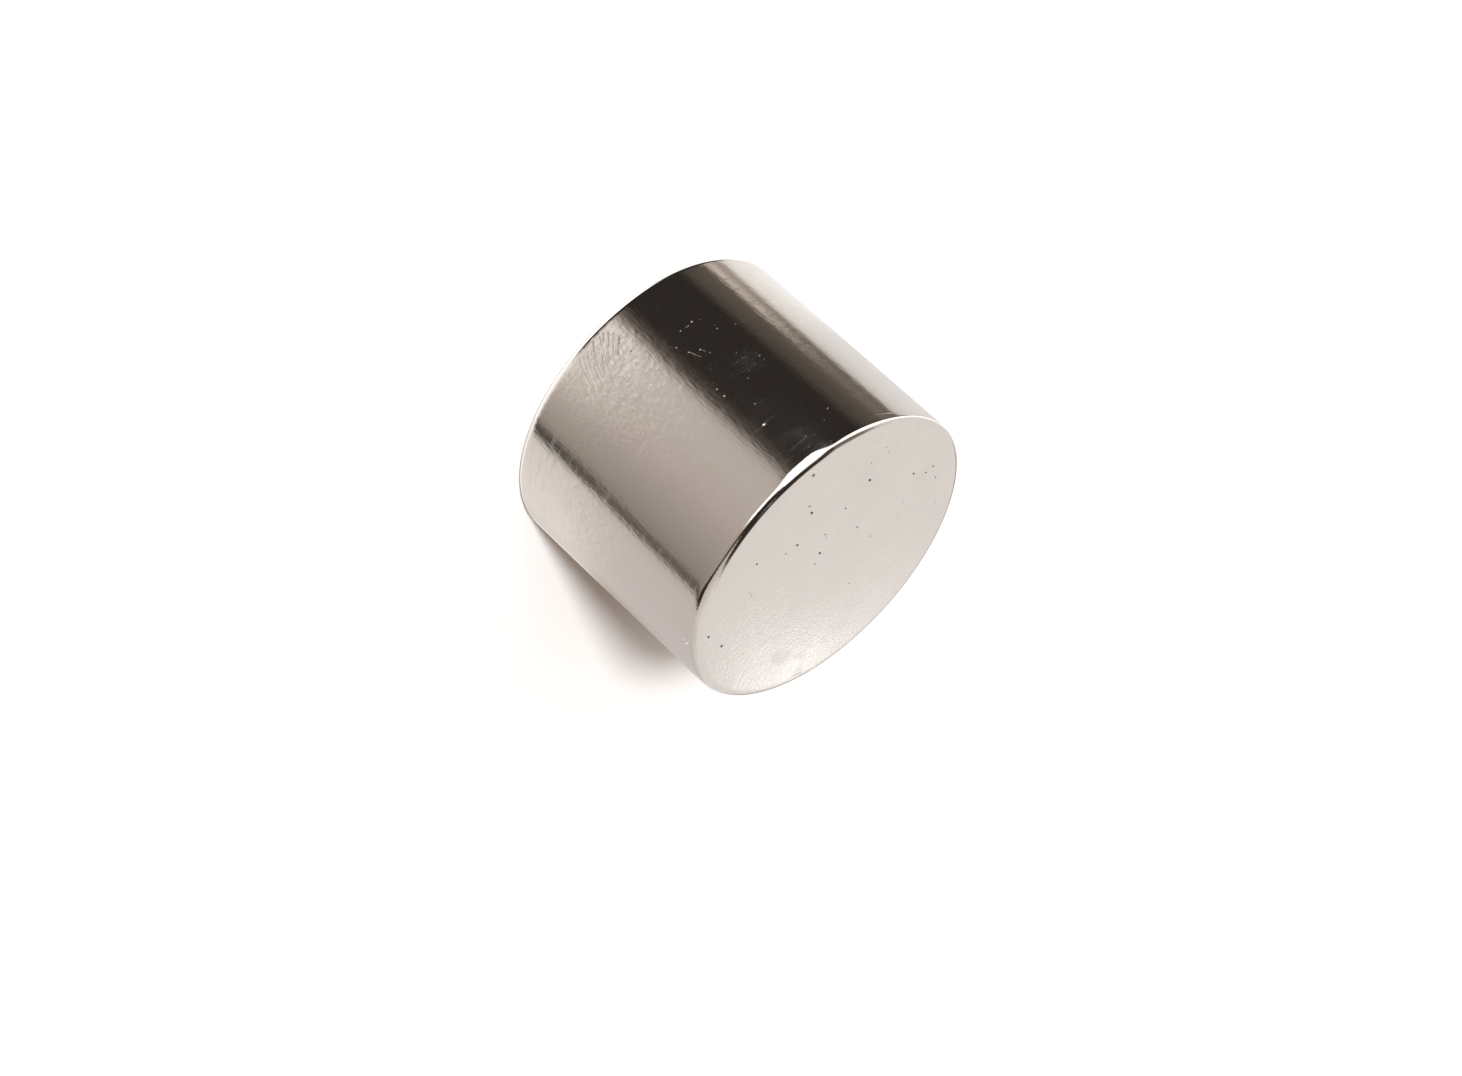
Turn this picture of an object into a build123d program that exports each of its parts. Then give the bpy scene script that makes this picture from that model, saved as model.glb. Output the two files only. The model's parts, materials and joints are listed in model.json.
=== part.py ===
from build123d import *
import os

# Cylinder magnet: one sintered block, ground to size, tumbled round at its edges and nickel-plated.
# It stands on its lower end face, with the origin at the centre of that face and +Z along its axis.

# Driving dimensions, in millimetres
DIAMETER = 25.0
HEIGHT = 20.0
EDGE_RADIUS = 0.6  # the tumbled edge round each end face


def half_section(radius, height, edge_radius):
    """The outline of the block on one side of its axis: end face, rounded edge, wall, rounded edge, end face."""
    lower_centre = (0, 0)
    lower_face_rim = (radius - edge_radius, 0)
    wall_bottom = (radius, edge_radius)
    wall_top = (radius, height - edge_radius)
    upper_face_rim = (radius - edge_radius, height)
    upper_centre = (0, height)

    with BuildSketch(Plane.XZ) as section:
        with BuildLine():
            Line(lower_centre, lower_face_rim)
            RadiusArc(lower_face_rim, wall_bottom, -edge_radius)
            Line(wall_bottom, wall_top)
            RadiusArc(wall_top, upper_face_rim, -edge_radius)
            Line(upper_face_rim, upper_centre)
            Line(upper_centre, lower_centre)
        make_face()
    return section.sketch


def cylinder_magnet(diameter, height, edge_radius):
    """The whole magnet: its half section turned once about the axis."""
    section = half_section(diameter / 2, height, edge_radius)
    return revolve(section, axis=Axis.Z)


os.makedirs("parts", exist_ok=True)
magnet = cylinder_magnet(DIAMETER, HEIGHT, EDGE_RADIUS)
magnet.label = "magnet"
export_step(magnet, "parts/magnet.step")
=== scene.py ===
import json
import math
import random

import bmesh
import bpy
from bpy.props import FloatProperty, FloatVectorProperty, IntProperty, PointerProperty
from mathutils import Matrix, Vector, geometry, kdtree, noise


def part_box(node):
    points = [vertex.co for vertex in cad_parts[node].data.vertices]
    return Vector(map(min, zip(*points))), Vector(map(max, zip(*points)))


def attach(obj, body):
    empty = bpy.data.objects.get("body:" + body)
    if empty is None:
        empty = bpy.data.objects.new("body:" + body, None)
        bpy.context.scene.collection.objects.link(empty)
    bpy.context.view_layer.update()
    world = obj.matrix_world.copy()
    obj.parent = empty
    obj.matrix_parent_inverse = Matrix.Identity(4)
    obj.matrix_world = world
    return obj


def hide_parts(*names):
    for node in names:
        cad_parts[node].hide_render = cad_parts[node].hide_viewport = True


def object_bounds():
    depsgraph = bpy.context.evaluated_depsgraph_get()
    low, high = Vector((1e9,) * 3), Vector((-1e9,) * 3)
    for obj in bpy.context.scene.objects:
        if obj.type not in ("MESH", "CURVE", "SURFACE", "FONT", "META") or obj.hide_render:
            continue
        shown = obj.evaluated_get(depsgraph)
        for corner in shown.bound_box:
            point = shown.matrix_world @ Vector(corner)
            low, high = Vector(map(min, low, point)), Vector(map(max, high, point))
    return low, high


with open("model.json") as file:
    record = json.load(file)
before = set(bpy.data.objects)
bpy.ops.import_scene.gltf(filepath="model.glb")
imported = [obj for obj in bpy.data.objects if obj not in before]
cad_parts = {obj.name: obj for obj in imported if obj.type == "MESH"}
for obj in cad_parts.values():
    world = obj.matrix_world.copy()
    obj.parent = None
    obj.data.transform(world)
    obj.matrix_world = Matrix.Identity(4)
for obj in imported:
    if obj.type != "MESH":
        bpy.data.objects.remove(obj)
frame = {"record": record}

bl_info = {
    "name": "Cylinder Magnet",
    "version": (1, 0, 0),
    "blender": (4, 5, 0),
    "location": "View3D > Sidebar > Magnet",
    "description": "Builds a nickel-plated cylinder magnet and the studio that it is shown in",
    "category": "Add Mesh",
}

MM = 0.001
MICRON = 0.000001
CAD_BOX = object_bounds()
NODE = "magnet"
LOW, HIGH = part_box(NODE)
MOUNTS = {mount["name"]: mount for mount in frame["record"]["mounts"]}
RADIUS = MOUNTS["outer_wall"]["dims"]["r_mm"] * MM
HEIGHT = HIGH.z - LOW.z
EDGE = (HEIGHT - MOUNTS["outer_wall"]["dims"]["length_mm"] * MM) / 2


def linear(hex_colour):
    """An sRGB hex colour as the linear values that Blender's colour sockets hold."""
    values = [int(hex_colour[i : i + 2], 16) / 255 for i in (1, 3, 5)]
    return tuple(v / 12.92 if v <= 0.04045 else ((v + 0.055) / 1.055) ** 2.4 for v in values)


def add(tree, kind, inputs=None, **settings):
    """Adds one shader node. Each input is a plain value or another node's output."""
    node = tree.nodes.new(kind)
    for name, value in settings.items():
        setattr(node, name, value)
    for socket, value in (inputs or {}).items():
        if isinstance(value, bpy.types.NodeSocket):
            tree.links.new(value, node.inputs[socket])
        else:
            node.inputs[socket].default_value = value
    return node


def set_stops(ramp, stops):
    """Gives a colour ramp its stops: (place from 0 to 1, linear colour)."""
    elements = ramp.color_ramp.elements
    while len(elements) > 1:
        elements.remove(elements[-1])
    for index, (place, colour) in enumerate(stops):
        element = elements[0] if index == 0 else elements.new(place)
        element.position = place
        element.color = (*colour, 1)


# ---------------------------------------------------------------- what a user would change


class MagnetSettings(bpy.types.PropertyGroup):
    edge_radius: FloatProperty(
        name="Edge radius",
        description="Radius of the tumbled edge round each end face",
        default=EDGE,
        min=0.0001,
        unit="LENGTH",
        subtype="DISTANCE",
    )
    crown: FloatProperty(
        name="Crown",
        description="How far each end face falls away towards its edge, from tumbling",
        default=0.08 * MM,
        min=0.0,
        unit="LENGTH",
        subtype="DISTANCE",
    )
    waviness: FloatProperty(
        name="Waviness",
        description="Depth of the long waves that grinding leaves in the wall",
        default=2.0 * MICRON,
        min=0.0,
        unit="LENGTH",
        subtype="DISTANCE",
    )
    segments: IntProperty(
        name="Segments",
        description="Number of steps round the magnet",
        default=360,
        min=64,
        max=400,
    )
    nickel: FloatVectorProperty(
        name="Nickel",
        description="Colour of the nickel plating",
        default=linear("#DDD5CD"),
        size=3,
        min=0.0,
        max=1.0,
        subtype="COLOR",
    )
    polish: FloatProperty(
        name="Roughness",
        description="Roughness of the plating where nothing has rubbed it",
        default=0.08,
        min=0.0,
        max=1.0,
        subtype="FACTOR",
    )


class StudioSettings(bpy.types.PropertyGroup):
    lens: FloatProperty(
        name="Lens",
        description="Focal length of the camera",
        default=92.2,
        min=10.0,
        unit="CAMERA",
    )
    distance: FloatProperty(
        name="Distance",
        description="How far the camera stands from the middle of the magnet",
        default=270.5 * MM,
        min=0.05,
        unit="LENGTH",
        subtype="DISTANCE",
    )
    elevation: FloatProperty(
        name="Elevation",
        description="How far the camera looks down on the upper face",
        default=math.radians(27.85),
        subtype="ANGLE",
    )
    roll: FloatProperty(
        name="Roll",
        description="Turn of the camera about its own line of sight",
        default=math.radians(132.82),
        subtype="ANGLE",
    )
    off_centre: FloatVectorProperty(
        name="Off centre",
        description="How far right of and above the middle of the picture the magnet's middle lies",
        default=(0.54 * MM, 4.40 * MM),
        size=2,
        unit="LENGTH",
        subtype="XYZ",
    )
    floor_colour: FloatVectorProperty(
        name="Floor",
        description="Colour of the floor",
        default=linear("#E7E7E7"),
        size=3,
        min=0.0,
        max=1.0,
        subtype="COLOR",
    )
    floor_radius: FloatProperty(
        name="Floor radius",
        description="Radius of the round floor",
        default=1.2,
        min=0.1,
        unit="LENGTH",
        subtype="DISTANCE",
    )


# ---------------------------------------------------------------- the magnet's mesh

FACE_RINGS = 34
EDGE_RINGS = 14
WALL_RINGS = 60
RINGS = 2 * (FACE_RINGS + EDGE_RINGS) + WALL_RINGS

# How long the waves in the wall are, and how quickly they die away across the faces.
WAVE_LENGTH = 4 * MM
WAVE_FADE = 8

# How far the rounded edges reach across the faces, and how unevenly they reach down the wall, in edge radii.
FACE_REACH = 0.9
UNEVEN_REACH = 0.12
# How far the upper edge reaches down the wall, in edge radii: (degrees round from -Y towards +X, reach).
EDGE_WEAR = (
    (-180, 0.8),
    (-80, 0.6),
    (-60, 0.6),
    (-34, 0.8),
    (-28, 0.65),
    (-20, 1.5),
    (-10, 1.4),
    (0, 1.0),
    (22, 1.1),
    (38, 1.5),
    (46, 1.1),
    (180, 0.8),
)

# Pits in the upper face, in millimetres: (x, y, radius, depth), before they are widened and deepened.
FACE_PITS = (
    (-9.6, 3.4, 0.11, 0.020),
    (-10.0, 1.9, 0.11, 0.022),
    (-9.3, 1.7, 0.10, 0.020),
    (-8.6, 0.4, 0.13, 0.030),
    (-8.6, 4.4, 0.08, 0.012),
    (-11.2, -2.3, 0.08, 0.012),
    (-6.0, -4.0, 0.14, 0.035),
    (-6.9, -5.6, 0.09, 0.014),
    (-3.4, -3.8, 0.10, 0.018),
    (-3.3, 2.1, 0.08, 0.012),
    (-3.4, -10.7, 0.20, 0.030),
    (-1.7, -8.0, 0.10, 0.020),
    (-1.5, -7.1, 0.14, 0.036),
    (-1.1, -3.4, 0.09, 0.014),
    (0.1, -2.0, 0.13, 0.034),
    (0.2, 4.7, 0.09, 0.014),
    (0.8, -5.4, 0.13, 0.030),
    (0.9, -1.4, 0.09, 0.016),
    (1.8, -5.8, 0.09, 0.014),
    (3.7, -7.9, 0.12, 0.022),
    (9.6, -3.3, 0.14, 0.036),
    (9.7, -5.7, 0.14, 0.036),
)

# Pits in the wall: (degrees round, height, radius, depth), in millimetres and before that too.
WALL_PITS = (
    (-36.8, 16.9, 0.11, 0.022),
    (-32.5, 17.6, 0.07, 0.010),
    (-31.3, 15.5, 0.08, 0.012),
    (-17.0, 15.2, 0.18, 0.030),
    (-20.3, 13.4, 0.07, 0.010),
    (-25.3, 11.4, 0.07, 0.010),
    (-15.3, 11.4, 0.10, 0.018),
    (-15.3, 10.6, 0.08, 0.014),
    (-34.5, 10.3, 0.09, 0.016),
    (-29.3, 9.1, 0.08, 0.012),
    (-37.8, 6.9, 0.12, 0.024),
    (-31.4, 6.5, 0.12, 0.024),
    (-31.8, 6.1, 0.07, 0.010),
    (-36.6, 5.6, 0.08, 0.014),
    (-29.5, 5.1, 0.07, 0.010),
    (-26.9, 4.9, 0.13, 0.028),
    (-21.8, 5.0, 0.09, 0.014),
    (-16.6, 5.9, 0.09, 0.014),
    (-23.3, 2.3, 0.07, 0.010),
    (-5.8, 3.6, 0.10, 0.010),
    (62.0, 18.6, 0.16, 0.030),
)

# Scratches, in millimetres: (x, y) to (x, y) in the upper face, width, depth.
FACE_SCRATCHES = (
    (-3.05, -0.4, -2.95, -1.3, 0.20, 0.060),
    (5.60, -5.1, 5.45, -5.6, 0.16, 0.050),
    (5.45, -5.6, 5.42, -6.1, 0.20, 0.060),
    (5.70, -4.6, 5.60, -5.1, 0.11, 0.020),
    (5.20, -4.9, 5.55, -5.3, 0.10, 0.016),
    (7.30, 9.1, 7.90, 8.6, 0.20, 0.050),
)

# Scratches in the wall: (degrees round, height) to (degrees round, height), width, depth.
WALL_SCRATCHES = (
    (-23.0, 7.9, -21.5, 7.2, 0.14, 0.014),
    (-19.8, 7.7, -18.9, 7.2, 0.10, 0.010),
    (-18.9, 7.1, -18.2, 6.8, 0.12, 0.012),
    (-23.2, 8.5, -25.3, 7.9, 0.08, 0.004),
    (-25.3, 7.9, -26.0, 7.3, 0.08, 0.004),
    (-25.9, 5.9, -23.3, 6.3, 0.08, 0.004),
    (-25.5, 5.0, -23.8, 5.0, 0.08, 0.004),
    (-26.0, 15.0, -17.5, 15.15, 0.14, 0.003),
    (-56.0, 19.15, -49.8, 18.95, 0.20, 0.010),
    (61.4, 19.2, 63.2, 18.9, 0.16, 0.020),
)

# The strokes where the lower end of the wall has rubbed: how many, and the stretch of wall in degrees round.
RUBS = 34
RUBS_FROM = -7
RUBS_ACROSS = 22
# How much wider and deeper the pits are than their tables say.
FACE_PIT_WIDTH = 1.45
FACE_PIT_DEPTH = 3.0
WALL_PIT_WIDTH = 0.85
WALL_PIT_DEPTH = 0.85


def eased(stops, value):
    """Reads a table of (place, level), easing in and out between its places."""
    for (start, low), (end, high) in zip(stops, stops[1:]):
        if value <= end:
            share = max(0.0, value - start) / (end - start)
            return low + (high - low) * share * share * (3 - 2 * share)
    return stops[-1][1]


def on_wall(degrees, height):
    """A place on the wall, this many degrees round and millimetres up."""
    turn = math.radians(degrees)
    return Vector((RADIUS * math.sin(turn), -RADIUS * math.cos(turn), height * MM))


def on_face(x, y):
    """A place on the upper face, in millimetres from its middle."""
    return Vector((x * MM, y * MM, HEIGHT))


def rub_marks():
    """The fan of short strokes where the lower end of the wall has rubbed: (start, end, width, depth)."""
    chance = random.Random(5)
    for i in range(RUBS):
        degrees = RUBS_FROM + RUBS_ACROSS * (i + chance.uniform(0, 0.8)) / RUBS
        foot = chance.uniform(0.7, 2.6)
        length = chance.uniform(0.7, 1.5)
        lean = math.radians(42 - 34 * i / RUBS + chance.uniform(-6, 6))
        across = math.degrees(length * math.sin(lean) * MM / RADIUS)
        end = on_wall(degrees + across, foot + length * math.cos(lean))
        yield on_wall(degrees, foot), end, chance.uniform(0.12, 0.19), chance.uniform(0.002, 0.004)


def all_marks():
    """Every pit and scratch as (start, end, half width, depth), in metres."""
    marks = [
        (on_face(x, y), on_face(x, y), FACE_PIT_WIDTH * size * MM, FACE_PIT_DEPTH * depth * MM)
        for x, y, size, depth in FACE_PITS
    ]
    marks += [
        (on_wall(d, z), on_wall(d, z), WALL_PIT_WIDTH * size * MM, WALL_PIT_DEPTH * depth * MM)
        for d, z, size, depth in WALL_PITS
    ]
    for x, y, to_x, to_y, width, depth in FACE_SCRATCHES:
        marks.append((on_face(x, y), on_face(to_x, to_y), width / 2 * MM, depth * MM))
    for d, z, to_d, to_z, width, depth in WALL_SCRATCHES:
        marks.append((on_wall(d, z), on_wall(to_d, to_z), width / 2 * MM, depth * MM))
    marks += [(start, end, width / 2 * MM, depth * MM) for start, end, width, depth in rub_marks()]
    return marks


class MarkMap:
    """Finds the marks near a point of the surface."""

    def __init__(self, marks):
        self.marks = marks
        self.owners = []
        places = []
        for index, (start, end, half_width, depth) in enumerate(marks):
            steps = max(1, math.ceil((end - start).length / half_width))
            for step in range(steps + 1):
                places.append(start.lerp(end, step / steps))
                self.owners.append(index)
        self.tree = kdtree.KDTree(len(places))
        for index, place in enumerate(places):
            self.tree.insert(place, index)
        self.tree.balance()
        self.reach = 1.6 * max(half_width for start, end, half_width, depth in marks)

    def near(self, place, spare=0.0):
        """The marks about this place, each with its distance."""
        found = {self.owners[index] for _, index, _ in self.tree.find_range(place, self.reach + spare)}
        for index in found:
            start, end, half_width, depth = self.marks[index]
            if start == end:
                yield self.marks[index], (place - start).length
            else:
                nearest, share = geometry.intersect_point_line(place, start, end)
                nearest = start.lerp(end, min(1.0, max(0.0, share)))
                yield self.marks[index], (place - nearest).length

    def depth(self, place):
        """How deep the marks go here."""
        deepest = 0.0
        for (start, end, half_width, depth), distance in self.near(place):
            if distance < half_width:
                deepest = max(deepest, depth * (1 - (distance / half_width) ** 2) ** 2)
        return deepest


def outline_point(ring, turn, settings):
    """Where the ring is on the outline at this turn: (radius, height, outward direction)."""
    upper = ring > RINGS / 2
    ring = RINGS - ring if upper else ring
    reach = eased(EDGE_WEAR, math.degrees(turn)) if upper else 1.0
    spot = Vector((2 * math.sin(turn), 2 * math.cos(turn), 7.0 if upper else 0.0))
    reach += UNEVEN_REACH * noise.noise(spot)
    face_side = FACE_REACH * settings.edge_radius
    wall_side = reach * settings.edge_radius
    flat = RADIUS - face_side
    if ring <= FACE_RINGS:
        r = flat * ring / FACE_RINGS
        z = settings.crown * (r / flat) ** 3
        out = (3 * settings.crown * (r / flat) ** 2 / flat, -1.0)
    elif ring <= FACE_RINGS + EDGE_RINGS:
        start = math.atan(3 * settings.crown / flat * face_side / (wall_side - settings.crown))
        bend = start + (math.pi / 2 - start) * (ring - FACE_RINGS) / EDGE_RINGS
        r = flat + face_side * (math.sin(bend) - math.sin(start)) / (1 - math.sin(start))
        z = settings.crown + (wall_side - settings.crown) * (1 - math.cos(bend) / math.cos(start))
        out = (math.sin(bend) / face_side, -math.cos(bend) / wall_side)
    else:
        r = RADIUS
        z = wall_side + (HEIGHT / 2 - wall_side) * (ring - FACE_RINGS - EDGE_RINGS) / (WALL_RINGS / 2)
        out = (1.0, 0.0)
    if upper:
        return r, HEIGHT - z, (out[0], -out[1])
    return r, z, out


def plain_mesh(settings):
    """Rings of points round the axis, and a point at the middle of each face. Each point keeps its ring."""
    mesh = bmesh.new()
    layer = mesh.verts.layers.float.new("ring")
    rings = []
    for ring in range(1, RINGS):
        row = []
        for i in range(settings.segments):
            turn = 2 * math.pi * i / settings.segments - math.pi
            r, z, _ = outline_point(ring, turn, settings)
            point = mesh.verts.new((r * math.sin(turn), -r * math.cos(turn), z))
            point[layer] = ring
            row.append(point)
        rings.append(row)
    for lower, upper in zip(rings, rings[1:]):
        for i in range(settings.segments):
            j = (i + 1) % settings.segments
            mesh.faces.new((lower[i], lower[j], upper[j], upper[i]))
    for row, height, ring in ((rings[0], 0, 0), (rings[-1], HEIGHT, RINGS)):
        middle = mesh.verts.new((0, 0, height))
        middle[layer] = ring
        for i in range(settings.segments):
            j = (i + 1) % settings.segments
            mesh.faces.new((row[i], row[j], middle) if ring else (row[j], row[i], middle))
    return mesh


def refine(mesh, marks):
    """Splits the edges about each mark until they are short enough to carry its shape."""
    for _ in range(6):
        long_edges = []
        for edge in mesh.edges:
            length = edge.calc_length()
            middle = (edge.verts[0].co + edge.verts[1].co) / 2
            for (start, end, half_width, depth), distance in marks.near(middle, length / 2):
                if length > 0.4 * half_width and distance < 1.3 * half_width + length / 2:
                    long_edges.append(edge)
                    break
        if not long_edges:
            return
        bmesh.ops.subdivide_edges(mesh, edges=long_edges, cuts=1, use_grid_fill=True)


def magnet_mesh(settings):
    """The plated block as one closed mesh, with its pits, its scratches and the long waves of grinding."""
    marks = MarkMap(all_marks())
    mesh = plain_mesh(settings)
    refine(mesh, marks)
    layer = mesh.verts.layers.float["ring"]
    for point in mesh.verts:
        turn = math.atan2(point.co.x, -point.co.y)
        r, z, (out_r, out_z) = outline_point(point[layer], turn, settings)
        place = Vector((r * math.sin(turn), -r * math.cos(turn), z))
        out = Vector((out_r * math.sin(turn), -out_r * math.cos(turn), out_z)).normalized()
        wave = settings.waviness * (0.5 + 0.5 * noise.noise(place / WAVE_LENGTH)) * (r / RADIUS) ** WAVE_FADE
        point.co = place - out * (wave + marks.depth(place))
    mesh.verts.layers.float.remove(layer)
    bmesh.ops.triangulate(mesh, faces=[face for face in mesh.faces if len(face.verts) > 4])
    for face in mesh.faces:
        face.smooth = True
    bmesh.ops.recalc_face_normals(mesh, faces=mesh.faces)
    return mesh


# ---------------------------------------------------------------- the plating

# Where handling has left the plating hazy and specked, in millimetres: (x, y, z, radius).
HAZES = (
    (-5.2, -11.4, 17.4, 2.2),
    (-5.2, -11.3, 19.3, 1.1),
    (-4.2, -11.8, 14.6, 1.8),
    (-6.5, -10.7, 10.0, 1.6),
    (-8.2, 6.7, 20.0, 1.6),
    (-4.5, 0.5, 20.0, 1.7),
    (-8.8, -5.2, 20.0, 1.7),
    (-1.2, -2.6, 20.0, 1.5),
    (-6.2, 2.6, 20.0, 1.4),
)
# Brown painted into the pits: partly grime, partly painted shade for the dark of the hollows.
PIT_GRIME_AND_SHADE_COLOUR = "#9A8B7E"


def bright_nickel(settings):
    """Electroplated nickel over a ground block, tumbled bright: a warm pale mirror.

    The grinding still shows through it as fine lines along the wall, which feather the edges of what it
    mirrors, and as hairlines round the wall. The plating itself is a little rippled, as thick nickel is, and
    speckled with pits that scatter light. The pits are painted brown: partly grime, and partly painted shade
    for the dark that such small hollows show. Handling has left it hazy in places, with more specks there.
    """
    material = bpy.data.materials.new("bright_nickel_plating")
    material.use_nodes = True
    tree = material.node_tree
    tree.nodes.clear()
    place = add(tree, "ShaderNodeTexCoord").outputs["Object"]
    in_mm = add(tree, "ShaderNodeVectorMath", {0: place, "Scale": 1 / MM}, operation="SCALE").outputs[0]

    # Grinding lines 0.17 mm apart and 0.85 mm long; the real ones are finer, and too fine to show.
    along = {"Vector": in_mm, "Rotation": (0.03, 0.05, 0), "Scale": (1, 1, 0.2)}
    along = add(tree, "ShaderNodeMapping", along).outputs[0]
    lines = add(tree, "ShaderNodeTexNoise", {"Vector": along, "Scale": 1 / 0.17, "Detail": 1.5})
    # Ripple of the plating, 0.45 mm across.
    ripple = add(tree, "ShaderNodeTexNoise", {"Vector": in_mm, "Scale": 1 / 0.45, "Detail": 1.0})
    # Hairlines round the wall, 0.2 mm apart and about 3 mm long.
    around = {"Vector": in_mm, "Rotation": (0, -0.16, 0), "Scale": (0.07, 0.07, 1)}
    around = add(tree, "ShaderNodeMapping", around).outputs[0]
    hair = add(tree, "ShaderNodeTexNoise", {"Vector": around, "Scale": 1 / 0.2, "Detail": 1.0})
    # Pits 0.36 mm apart, in drifts 2.6 mm across. They are 0.1 mm across, or 0.2 mm where it is hazy.
    cells = add(tree, "ShaderNodeTexVoronoi", {"Vector": in_mm, "Scale": 1 / 0.36})
    drift = add(tree, "ShaderNodeTexNoise", {"Vector": in_mm, "Scale": 1 / 2.6, "Detail": 2.0})
    # Clouds of slightly thicker and thinner film, 3.5 mm across.
    cloud = {"Vector": in_mm, "Scale": 1 / 3.5, "Detail": 3.0, "Roughness": 0.6}
    cloud = add(tree, "ShaderNodeTexNoise", cloud)

    hazed = 0.0
    for x, y, z, radius in HAZES:
        away = add(tree, "ShaderNodeVectorMath", {0: in_mm, 1: (x, y, z)}, operation="DISTANCE")
        patch = {"Value": away.outputs["Value"], "From Min": radius, "From Max": 0.3 * radius}
        patch = add(tree, "ShaderNodeMapRange", patch).outputs[0]
        hazed = add(tree, "ShaderNodeMath", {0: hazed, 1: patch}, operation="MAXIMUM").outputs[0]
    uneven = {"Value": drift.outputs["Fac"], "From Min": 0.2, "From Max": 0.6}
    uneven = add(tree, "ShaderNodeMapRange", uneven).outputs[0]
    hazed = add(tree, "ShaderNodeMath", {0: hazed, 1: uneven}, operation="MULTIPLY").outputs[0]

    # The pits are as wide as the drift and the haze allow, in shares of the distance between them.
    widest = {"Value": drift.outputs["Fac"], "From Min": 0.40, "From Max": 0.66, "To Max": 0.11}
    widest = add(tree, "ShaderNodeMapRange", widest).outputs["Result"]
    widest = {0: hazed, 1: 0.15, 2: widest}
    widest = add(tree, "ShaderNodeMath", widest, operation="MULTIPLY_ADD").outputs[0]
    outside = {0: cells.outputs["Distance"], 1: widest}
    outside = add(tree, "ShaderNodeMath", outside, operation="SUBTRACT").outputs[0]
    pits = {"Value": outside, "From Min": 0.02, "From Max": -0.04}
    pits = add(tree, "ShaderNodeMapRange", pits).outputs["Result"]
    hairs = {"Value": hair.outputs["Fac"], "From Min": 0.58, "From Max": 0.68}
    hairs = add(tree, "ShaderNodeMapRange", hairs).outputs["Result"]
    film = {"Value": cloud.outputs["Fac"], "From Min": 0.35, "From Max": 0.7}
    film = add(tree, "ShaderNodeMapRange", film).outputs["Result"]

    rough = settings.polish
    for mask, more in ((pits, 0.2), (hairs, 0.05), (hazed, 0.09), (film, 0.03)):
        added = {0: mask, 1: more, 2: rough}
        rough = add(tree, "ShaderNodeMath", added, operation="MULTIPLY_ADD").outputs[0]

    pale = (*settings.nickel, 1)
    dull = (*(0.93 * value for value in settings.nickel), 1)
    shade = add(tree, "ShaderNodeMath", {0: film, 1: 0.4}, operation="MULTIPLY").outputs[0]
    shade = add(tree, "ShaderNodeMath", {0: hairs, 1: 0.35, 2: shade}, operation="MULTIPLY_ADD").outputs[0]
    colour = add(tree, "ShaderNodeMix", {0: shade, 6: pale, 7: dull}, data_type="RGBA").outputs[2]
    # Painted shade and grime: the pits are mixed part of the way to that brown.
    pit_grime_and_shade = add(tree, "ShaderNodeMath", {0: pits, 1: 0.55}, operation="MULTIPLY").outputs[0]
    grime_and_shade_mix = {0: pit_grime_and_shade, 6: colour, 7: (*linear(PIT_GRIME_AND_SHADE_COLOUR), 1)}
    colour = add(tree, "ShaderNodeMix", grime_and_shade_mix, data_type="RGBA").outputs[2]

    relief = {"Height": lines.outputs["Fac"], "Strength": 1.0, "Distance": 5 * MICRON}
    normal = add(tree, "ShaderNodeBump", relief).outputs[0]
    relief = {"Height": ripple.outputs["Fac"], "Strength": 1.0, "Distance": 2.5 * MICRON, "Normal": normal}
    normal = add(tree, "ShaderNodeBump", relief).outputs[0]
    shader = add(
        tree,
        "ShaderNodeBsdfPrincipled",
        {"Base Color": colour, "Metallic": 1.0, "Roughness": rough, "Normal": normal},
    )
    add(tree, "ShaderNodeOutputMaterial", {"Surface": shader.outputs["BSDF"]})
    return material


class MAGNET_OT_block(bpy.types.Operator):
    """Builds the plated magnet block over its CAD solid"""

    bl_idname = "magnet.block"
    bl_label = "Plated Block"

    def execute(self, context):
        settings = context.scene.magnet_block
        data = bpy.data.meshes.new("plated_block")
        mesh = magnet_mesh(settings)
        mesh.to_mesh(data)
        mesh.free()
        block = bpy.data.objects.new("plated_block", data)
        context.scene.collection.objects.link(block)
        data.materials.append(bright_nickel(settings))
        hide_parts(NODE)
        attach(block, "root")
        return {"FINISHED"}


# ---------------------------------------------------------------- the studio

# The fill light that reaches the shadow, and how much the floor is lifted where the camera looks at it.
FILL_TONE = "#FFDBC0"
FILL_STRENGTH = 0.20
FLOOR_LIFT = 0.04
# The lamps: (name, azimuth, elevation and width in degrees, strength).
LAMPS = (
    ("key", -8.7, 36, 8, 4.5),
    ("wide_key", -24, 44, 46, 1.5),
)


def toward(azimuth, elevation):
    """The direction to an azimuth, which is 0 at -Y and a quarter turn at +X, and an elevation."""
    flat = math.cos(elevation)
    return Vector((flat * math.sin(azimuth), -flat * math.cos(azimuth), math.sin(elevation)))


# What the metal mirrors, as rings of studio cards: (degrees round from the camera to its right, tone there).
# Those low down, which the wall mirrors:
LOW_TONES = (
    (-180, "#AAA5A2"),
    (-175, "#C2C1C0"),
    (-156, "#CDCCCC"),
    (-134, "#D0CFCF"),
    (-122, "#C5C4C3"),
    (-118, "#B8B6B4"),
    (-115, "#5E5852"),
    (-110, "#66605A"),
    (-105, "#6A645E"),
    (-101, "#57514A"),
    (-86, "#45403C"),
    (-80, "#2B2826"),
    (-32, "#2B2826"),
    (-24, "#4A4541"),
    (-17, "#A19B97"),
    (-12, "#ADA8A5"),
    (0, "#B0ABA8"),
    (24, "#A8A19E"),
    (48, "#97918E"),
    (71, "#857E79"),
    (75, "#504944"),
    (79, "#504944"),
    (83, "#B6B2B0"),
    (98, "#BAB7B7"),
    (134, "#BBB7B7"),
    # From here round to the back the cards darken: a painted reflection of the floor's shadow beside the
    # wall.
    (146, "#B8B4B3"),
    (158, "#ABA49F"),
    (174, "#988E87"),
    (180, "#AAA5A2"),
)
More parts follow.
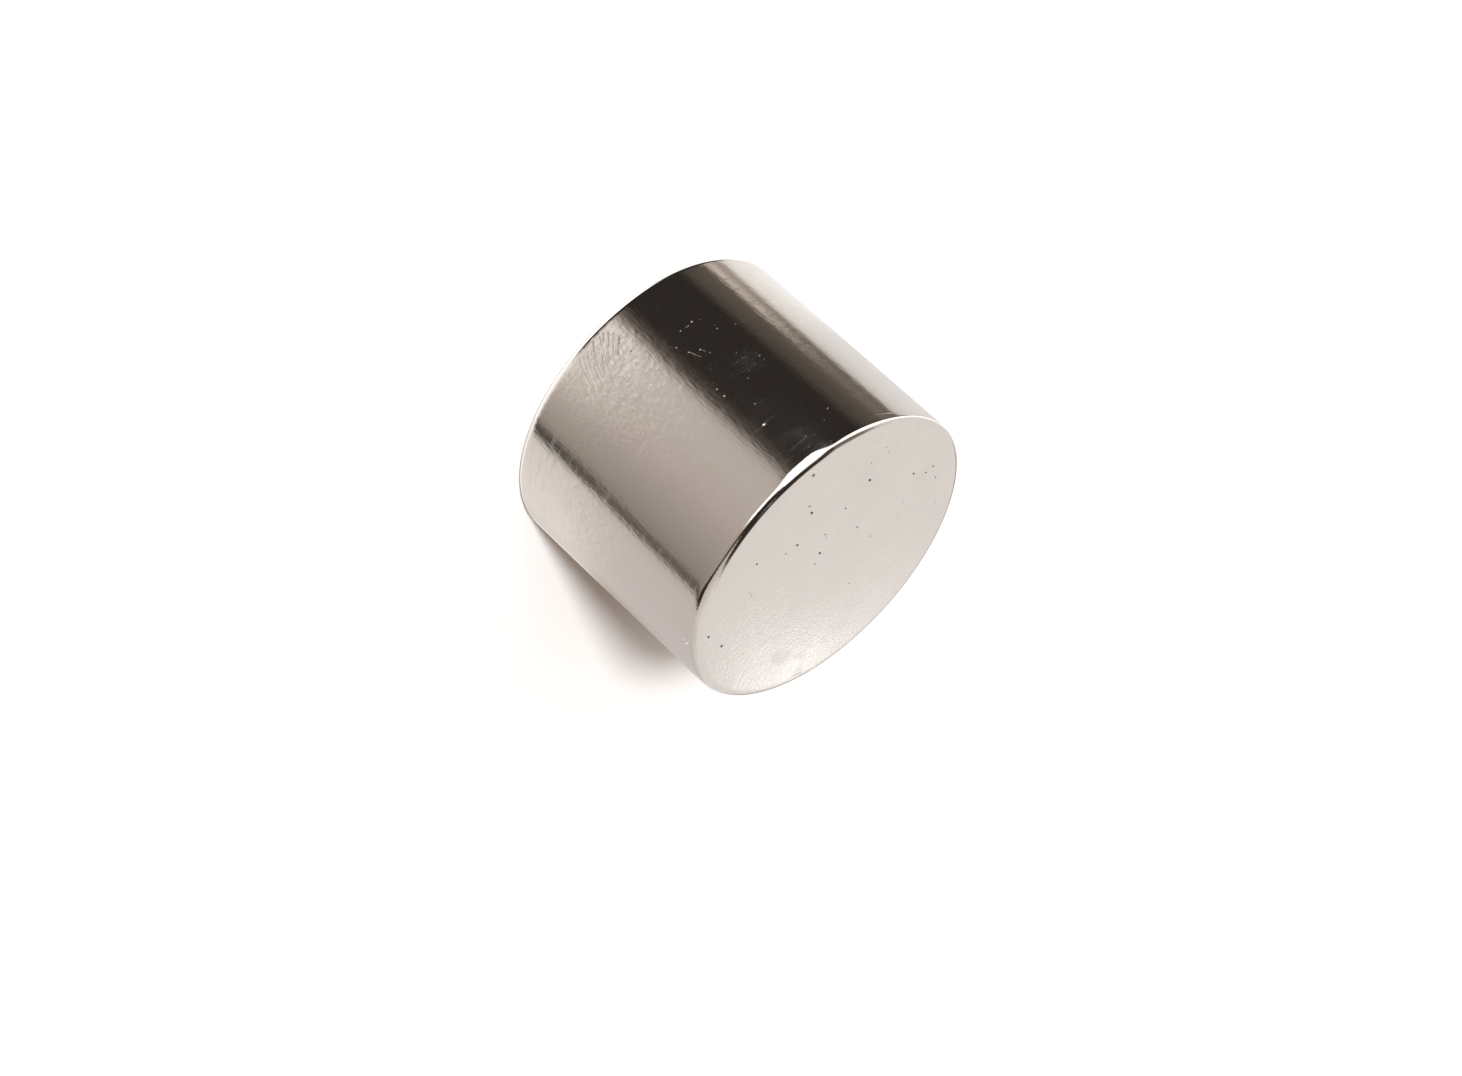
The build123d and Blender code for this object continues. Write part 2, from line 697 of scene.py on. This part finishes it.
# Those nearer to its foot, which the lower end of the wall mirrors:
FOOT_TONES = (
    (-180, "#CFCBC8"),
    (-174, "#DCDCDC"),
    (-144, "#E2E2E2"),
    (-124, "#DCDCDB"),
    (-119, "#CECCCA"),
    (-115, "#8A827B"),
    (-110, "#A39B94"),
    (-107, "#BDB4AD"),
    (-103, "#BDB4AD"),
    (-101, "#5A544D"),
    (-86, "#4E4944"),
    (-79, "#2B2826"),
    (-34, "#2B2826"),
    (-25, "#6A635D"),
    (-15, "#EDEBEA"),
    (0, "#F2F0EF"),
    (22, "#DEDBD8"),
    (48, "#AAA49F"),
    (69, "#8A837E"),
    (74, "#38332F"),
    (79, "#38332F"),
    (84, "#CDCBCA"),
    (120, "#DAD8D8"),
    (144, "#D5D2D0"),
    # From here round to the back the cards darken a little: a painted reflection of the floor's shadow.
    (160, "#C6C1BD"),
    (174, "#CBC6C2"),
    (180, "#CFCBC8"),
)
# Those right under it, which the lower edge mirrors. Their dark stretch is painted shade: a dark card
# standing in for the shade under the magnet, mirrored as a dark line along the lower edge:
UNDER_TONES = (
    (-180, "#F0EEEC"),
    (-142, "#F0EEEC"),
    (-132, "#2B2826"),
    (6, "#2B2826"),
    (22, "#F0EEEC"),
    (180, "#F0EEEC"),
)
# The rail over the low cards, where the wall turns into the upper edge:
RAIL_TONES = (
    (-180, "#C8C4C2"),
    (-160, "#D8D5D2"),
    (-150, "#FFFFFF"),
    (14, "#FFFFFF"),
    (24, "#A0978F"),
    (76, "#8E857D"),
    (86, "#BDBABA"),
    (180, "#C8C4C2"),
)
# The dark curtain over that rail:
CURTAIN_TONES = (
    (-180, "#8A7F76"),
    (-168, "#8A7F76"),
    (-158, "#D2D2D2"),
    (-92, "#D2D2D2"),
    (-66, "#8A7F76"),
    (-24, "#5E554E"),
    (-14, "#2B2826"),
    (78, "#2B2826"),
    (88, "#BDBABA"),
    (160, "#D2D2D2"),
    (170, "#8A7F76"),
    (180, "#8A7F76"),
)
# Those above. The ones behind the magnet are what the upper face mirrors:
HIGH_TONES = (
    (-180, "#D2D2D2"),
    (-92, "#D2D2D2"),
    (-60, "#6E655D"),
    (-14, "#2B2826"),
    (28, "#2B2826"),
    (42, "#8E857D"),
    (60, "#B4AEAA"),
    (84, "#C6C2C0"),
    (120, "#D2D2D2"),
    (180, "#D2D2D2"),
)
# The ceiling, which is darkest in the middle, round a small skylight:
CEILING_TONES = (
    (-180, "#7A7068"),
    (-50, "#5E554E"),
    (-20, "#2B2826"),
    (36, "#2B2826"),
    (60, "#7A7068"),
    (180, "#7A7068"),
)
SHAFT_TONES = ((0, "#2B2826"),)
SKYLIGHT_TONES = ((0, "#CCC9C6"),)
# Where the rows of cards meet, in degrees: (round, above the horizon).
CARD_FEET = (
    (-180, -28.8),
    (-90, -29.6),
    (-30, -30.9),
    (10, -31.1),
    (40, -30.8),
    (90, -29.8),
    (180, -28.8),
)
CARD_TOPS = (
    (-180, -26.8),
    (-158, -24),
    (-144, 1),
    (-64, 1),
    (-54, -18),
    (-22, -19),
    (-14, 2),
    (18, 2),
    (26, -4),
    (80, -6),
    (110, 0),
    (140, 0),
    (154, -26.8),
    (180, -26.8),
)
RAIL_TOPS = (
    (-180, -16),
    (-158, -6),
    (-144, 12),
    (-135, 17),
    (-125, 26),
    (-95, 44),
    (-70, 50),
    (-24, 52),
    (-14, 34),
    (16, 32),
    (30, 30),
    (50, 16),
    (62, -2),
    (70, -13),
    (80, -20),
    (90, -14),
    (110, 12),
    (140, 12),
    (154, -15),
    (180, -16),
)
CEILING_FEET = (
    (-180, 50),
    (-90, 50),
    (-40, 54),
    (36, 54),
    (60, 70),
    (140, 70),
    (165, 52),
    (180, 50),
)
# How far over from upright the edges of the low cards lean, on the camera's right.
CARD_LEAN = 0.54
# How strongly the cards are lit, and how much more light comes through the white ones.
TONE_STRENGTH = 1.45
LIT_CARD = 0.35
# Where a window behind the magnet shows: (azimuth, elevation, inner and outer size in degrees, strength).
WINDOW_GLOWS = (
    (177.9, 24.2, 0.5, 2.0, 0.34),
    (180.2, 23.2, 0.5, 2.4, 0.16),
)
WINDOW_TONE = "#F0F8FF"


def share_round(degrees):
    """The place on a colour ramp of a direction this many degrees round from the camera."""
    return degrees / 360 + 0.5


def share_up(degrees):
    """The grey that stands for this many degrees above the horizon."""
    return degrees / 180 + 0.5


def ring_of_tones(tree, turn_share, tones):
    """The tone of a ring of cards in the direction that is this share of the way round."""
    ramp = add(tree, "ShaderNodeValToRGB", {"Fac": turn_share})
    set_stops(ramp, [(share_round(degrees), linear(tone)) for degrees, tone in tones])
    return ramp.outputs["Color"]


def above_line(tree, turn_share, rise, line):
    """How far above a line, given by its height at each turn, a direction is, in radians."""
    ramp = add(tree, "ShaderNodeValToRGB", {"Fac": turn_share})
    set_stops(ramp, [(share_round(degrees), (share_up(height),) * 3) for degrees, height in line])
    limits = {"Value": ramp.outputs["Color"], "To Min": -math.pi / 2, "To Max": math.pi / 2}
    height = add(tree, "ShaderNodeMapRange", limits).outputs["Result"]
    return add(tree, "ShaderNodeMath", {0: rise, 1: height}, operation="SUBTRACT").outputs[0]


def add_glow(tree, tone, way, azimuth, elevation, inner, outer, strength):
    """A soft bright patch where a window shows: at full strength within inner degrees, and gone by outer."""
    window = toward(math.radians(azimuth), math.radians(elevation))
    nearness = add(tree, "ShaderNodeVectorMath", {0: way, 1: window}, operation="DOT_PRODUCT")
    limits = {
        "Value": nearness.outputs["Value"],
        "From Min": math.cos(math.radians(outer)),
        "From Max": math.cos(math.radians(inner)),
        "To Max": strength,
    }
    glow = add(tree, "ShaderNodeMapRange", limits, interpolation_type="SMOOTHSTEP").outputs["Result"]
    both = {0: glow, 6: tone, 7: (*linear(WINDOW_TONE), 1)}
    return add(tree, "ShaderNodeMix", both, data_type="RGBA", blend_type="ADD").outputs[2]


def studio_cards(tree):
    """The tone of the card that stands in each direction."""
    way = add(tree, "ShaderNodeTexCoord").outputs["Generated"]
    part = add(tree, "ShaderNodeSeparateXYZ", {0: way})
    nearer = add(tree, "ShaderNodeMath", {0: part.outputs["Y"], 1: -1.0}, operation="MULTIPLY").outputs[0]
    turn = add(tree, "ShaderNodeMath", {0: part.outputs["X"], 1: nearer}, operation="ARCTAN2").outputs[0]
    rise = add(tree, "ShaderNodeMath", {0: part.outputs["Z"]}, operation="ARCSINE").outputs[0]
    round_limits = {"From Min": -math.pi, "From Max": math.pi}
    share = add(tree, "ShaderNodeMapRange", {"Value": turn, **round_limits}).outputs["Result"]

    # The low cards lean: their edges move round with height, and more so the further round they are.
    slant = {
        "Value": turn,
        "From Min": math.radians(-80),
        "From Max": math.radians(100),
        "To Max": CARD_LEAN * math.pi,
    }
    slant = add(tree, "ShaderNodeMapRange", slant).outputs["Result"]
    height = {
        "Value": rise,
        "From Min": math.radians(-32),
        "From Max": math.radians(-25),
        "To Min": math.radians(-4),
        "To Max": math.radians(3),
    }
    height = add(tree, "ShaderNodeMapRange", height).outputs["Result"]
    moved = add(tree, "ShaderNodeMath", {0: slant, 1: height}, operation="MULTIPLY").outputs[0]
    leant = add(tree, "ShaderNodeMath", {0: turn, 1: moved}, operation="SUBTRACT").outputs[0]
    leant = add(tree, "ShaderNodeMapRange", {"Value": leant, **round_limits}).outputs["Result"]

    over_foot = above_line(tree, share, rise, CARD_FEET)
    over_top = above_line(tree, share, rise, CARD_TOPS)
    over_rail = above_line(tree, share, rise, RAIL_TOPS)
    in_ceiling = above_line(tree, share, rise, CEILING_FEET)
    # From the floor up: what a row is measured from, where it starts, where it is whole, its turn, its tones.
    rows = (
        (rise, -66, -56, share, UNDER_TONES),
        (rise, -34.5, -33, leant, FOOT_TONES),
        (over_foot, -0.45, 0.45, leant, LOW_TONES),
        (over_top, -1.5, 1.5, share, RAIL_TONES),
        (over_rail, -2, 2, share, CURTAIN_TONES),
        (over_rail, 18, 24, share, HIGH_TONES),
        (in_ceiling, -6, 2, share, CEILING_TONES),
        (rise, 60, 68, share, SHAFT_TONES),
        (rise, 85, 89, share, SKYLIGHT_TONES),
    )
    tone = (1, 1, 1, 1)
    for measure, start, end, around, tones in rows:
        limits = {"Value": measure, "From Min": math.radians(start), "From Max": math.radians(end)}
        rising = add(tree, "ShaderNodeMapRange", limits, interpolation_type="SMOOTHSTEP").outputs["Result"]
        both = {0: rising, 6: tone, 7: ring_of_tones(tree, around, tones)}
        tone = add(tree, "ShaderNodeMix", both, data_type="RGBA").outputs[2]
    for azimuth, elevation, inner, outer, strength in WINDOW_GLOWS:
        tone = add_glow(tree, tone, way, azimuth, elevation, inner, outer, strength)
    # White cards are lit through, and so are brighter than any paper.
    white = add(tree, "ShaderNodeRGBToBW", {"Color": tone}).outputs[0]
    lit = {"Value": white, "From Min": 0.9, "From Max": 1.0, "To Max": LIT_CARD}
    lit = add(tree, "ShaderNodeMapRange", lit).outputs["Result"]
    both = {0: lit, 6: tone, 7: (1, 1, 1, 1)}
    return add(tree, "ShaderNodeMix", both, data_type="RGBA", blend_type="ADD").outputs[2]


def studio_world(world):
    """White behind the magnet, a dim fill for the floor, and the studio cards that the metal mirrors."""
    world.use_nodes = True
    tree = world.node_tree
    tree.nodes.clear()
    mirrored = add(tree, "ShaderNodeBackground", {"Color": studio_cards(tree), "Strength": TONE_STRENGTH})
    fill = {"Color": (*linear(FILL_TONE), 1), "Strength": FILL_STRENGTH}
    fill = add(tree, "ShaderNodeBackground", fill)
    white = add(tree, "ShaderNodeBackground", {"Color": (1, 1, 1, 1), "Strength": 1.0})
    path = add(tree, "ShaderNodeLightPath")
    sides = {0: path.outputs["Is Glossy Ray"], 1: fill.outputs[0], 2: mirrored.outputs[0]}
    lit = add(tree, "ShaderNodeMixShader", sides)
    sides = {0: path.outputs["Is Camera Ray"], 1: lit.outputs[0], 2: white.outputs[0]}
    seen = add(tree, "ShaderNodeMixShader", sides)
    add(tree, "ShaderNodeOutputWorld", {"Surface": seen.outputs[0]})


def pale_floor(settings):
    """Matt white board, brought up to the white of the background where the camera looks at it."""
    material = bpy.data.materials.new("matt_white_board")
    material.use_nodes = True
    tree = material.node_tree
    tree.nodes.clear()
    path = add(tree, "ShaderNodeLightPath")
    board = add(tree, "ShaderNodeBsdfDiffuse", {"Color": (*settings.floor_colour, 1)})
    lift = add(tree, "ShaderNodeEmission", {"Color": (*linear(FILL_TONE), 1), "Strength": FLOOR_LIFT})
    both = add(tree, "ShaderNodeAddShader", {0: board.outputs[0], 1: lift.outputs[0]})
    sides = {0: path.outputs["Is Camera Ray"], 1: board.outputs[0], 2: both.outputs[0]}
    seen = add(tree, "ShaderNodeMixShader", sides)
    add(tree, "ShaderNodeOutputMaterial", {"Surface": seen.outputs[0]})
    return material


def add_floor(context, settings):
    """A round board under the magnet, which the metal doesn't mirror."""
    mesh = bmesh.new()
    bmesh.ops.create_circle(mesh, cap_ends=True, radius=settings.floor_radius, segments=96)
    data = bpy.data.meshes.new("floor")
    mesh.to_mesh(data)
    mesh.free()
    floor = bpy.data.objects.new("floor", data)
    floor.location.z = CAD_BOX[0].z
    floor.visible_glossy = False
    context.scene.collection.objects.link(floor)
    data.materials.append(pale_floor(settings))


def add_lamps(context):
    """Soft lamps over the camera's shoulder: the shadow falls behind the magnet and to one side of it."""
    for name, azimuth, elevation, width, energy in LAMPS:
        lamp = bpy.data.lights.new(name, "SUN")
        lamp.energy = energy
        lamp.angle = math.radians(width)
        holder = bpy.data.objects.new(name, lamp)
        way = toward(math.radians(azimuth), math.radians(elevation))
        holder.rotation_mode = "QUATERNION"
        holder.rotation_quaternion = way.to_track_quat("Z", "Y")
        holder.visible_glossy = False
        context.scene.collection.objects.link(holder)


def add_camera(context, settings):
    """Looks down on the upper face, rolled so that the magnet's axis runs down to the right."""
    back = toward(0, settings.elevation)
    level = Vector((1, 0, 0))
    upright = back.cross(level)
    right = level * math.cos(settings.roll) + upright * math.sin(settings.roll)
    up = back.cross(right)
    middle = (CAD_BOX[0] + CAD_BOX[1]) / 2
    across, above = settings.off_centre
    place = middle - right * across - up * above + back * settings.distance
    lens = bpy.data.cameras.new("camera")
    lens.lens = settings.lens
    lens.sensor_width = 36
    camera = bpy.data.objects.new("camera", lens)
    camera.matrix_world = Matrix.Translation(place) @ Matrix((right, up, back)).transposed().to_4x4()
    context.scene.collection.objects.link(camera)
    context.scene.camera = camera


class MAGNET_OT_studio(bpy.types.Operator):
    """Builds the floor, the lights and the camera"""

    bl_idname = "magnet.studio"
    bl_label = "Studio"

    def execute(self, context):
        scene = context.scene
        settings = scene.magnet_studio
        scene.view_settings.view_transform = "Standard"
        scene.world = bpy.data.worlds.new("studio")
        studio_world(scene.world)
        add_floor(context, settings)
        add_lamps(context)
        add_camera(context, settings)
        return {"FINISHED"}


class MAGNET_PT_sidebar(bpy.types.Panel):
    """Lists the magnet's pieces and its studio"""

    bl_idname = "MAGNET_PT_sidebar"
    bl_label = "Cylinder Magnet"
    bl_space_type = "VIEW_3D"
    bl_region_type = "UI"
    bl_category = "Magnet"

    def draw(self, context):
        layout = self.layout
        operators = (("magnet_block", MAGNET_OT_block), ("magnet_studio", MAGNET_OT_studio))
        for group, operator in operators:
            settings = getattr(context.scene, group)
            box = layout.box()
            for name in settings.bl_rna.properties.keys():
                if name not in {"rna_type", "name"}:
                    box.prop(settings, name)
            box.operator(operator.bl_idname)


CLASSES = (MagnetSettings, StudioSettings, MAGNET_OT_block, MAGNET_OT_studio, MAGNET_PT_sidebar)


def register():
    for cls in CLASSES:
        bpy.utils.register_class(cls)
    bpy.types.Scene.magnet_block = PointerProperty(type=MagnetSettings)
    bpy.types.Scene.magnet_studio = PointerProperty(type=StudioSettings)


def unregister():
    del bpy.types.Scene.magnet_studio
    del bpy.types.Scene.magnet_block
    for cls in reversed(CLASSES):
        bpy.utils.unregister_class(cls)


def main():
    register()
    bpy.ops.magnet.block()
    bpy.ops.magnet.studio()


if __name__ == "__main__":
    main()
